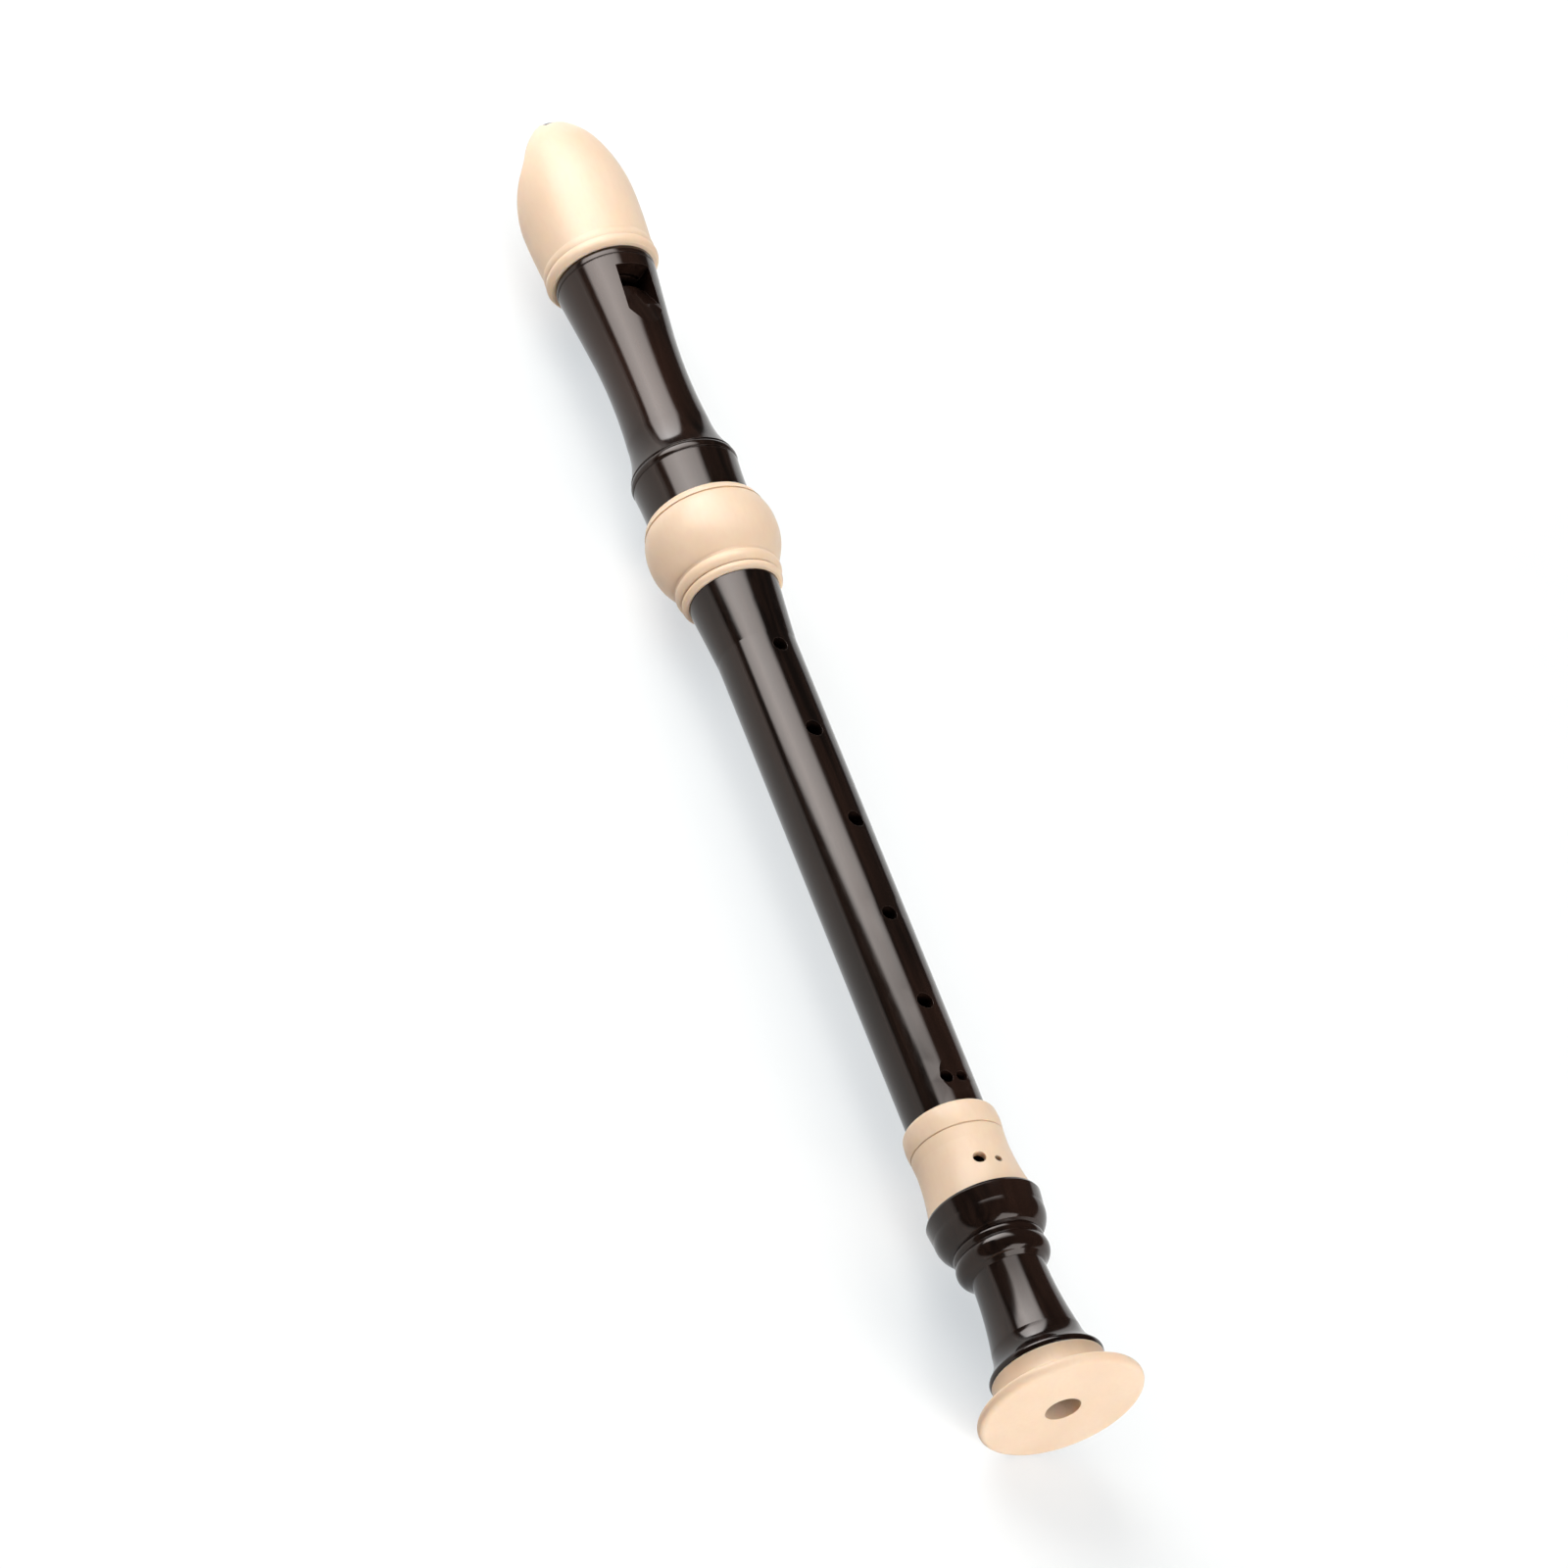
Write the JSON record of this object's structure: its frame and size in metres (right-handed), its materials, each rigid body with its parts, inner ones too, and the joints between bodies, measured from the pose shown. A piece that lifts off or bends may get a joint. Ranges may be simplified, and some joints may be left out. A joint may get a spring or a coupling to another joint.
{
  "type": "alto recorder",
  "caption": "Duct flute in three turned joints: a head with a light beak and a window, a long middle with finger holes, and a foot with a light bell.",
  "frame": {"origin": "middle of the bounding box's base: halfway along the recorder, under the bore's axis, at the height of the bell rim's lowest point", "axes": "+Y along the bore's axis from the bell to the beak, +Z the side of the finger holes, +X to the right when the holes are looked at with the beak up"},
  "size_m": [0.0508, 0.4759, 0.0508],
  "materials": {
    "dark_plastic": "gloss",
    "ivory_plastic": "satin",
    "seal_rubber": "matte"
  },
  "bodies": {
    "middle": {"middle_tube": "dark_plastic"},
    "upper_seal": {"upper_seal_ring_1": "seal_rubber", "upper_seal_ring_2": "seal_rubber"},
    "head": {"head_barrel": "dark_plastic", "head_ring": "ivory_plastic", "beak_cap": "ivory_plastic", "windway_block": "dark_plastic"},
    "lower_seal": {"lower_seal_ring_1": "seal_rubber", "lower_seal_ring_2": "seal_rubber"},
    "foot": {"foot_body": "dark_plastic", "foot_ring": "ivory_plastic", "bell_ring": "ivory_plastic"}
  },
  "joints": [
    {"name": "head_turn", "type": "hinge", "parent": "middle", "child": "upper_seal", "pos_m": [0, 0.0689, 0.0254], "axis": [0, 1, 0], "continuous": true},
    {"name": "head_draw", "type": "slide", "parent": "upper_seal", "child": "head", "axis": [0, 1, 0], "range_m": [0, 0.026]},
    {"name": "foot_turn", "type": "hinge", "parent": "middle", "child": "lower_seal", "pos_m": [0, -0.1461, 0.0254], "axis": [0, 1, 0], "continuous": true},
    {"name": "foot_draw", "type": "slide", "parent": "lower_seal", "child": "foot", "axis": [0, -1, 0], "range_m": [0, 0.0145]}
  ]
}
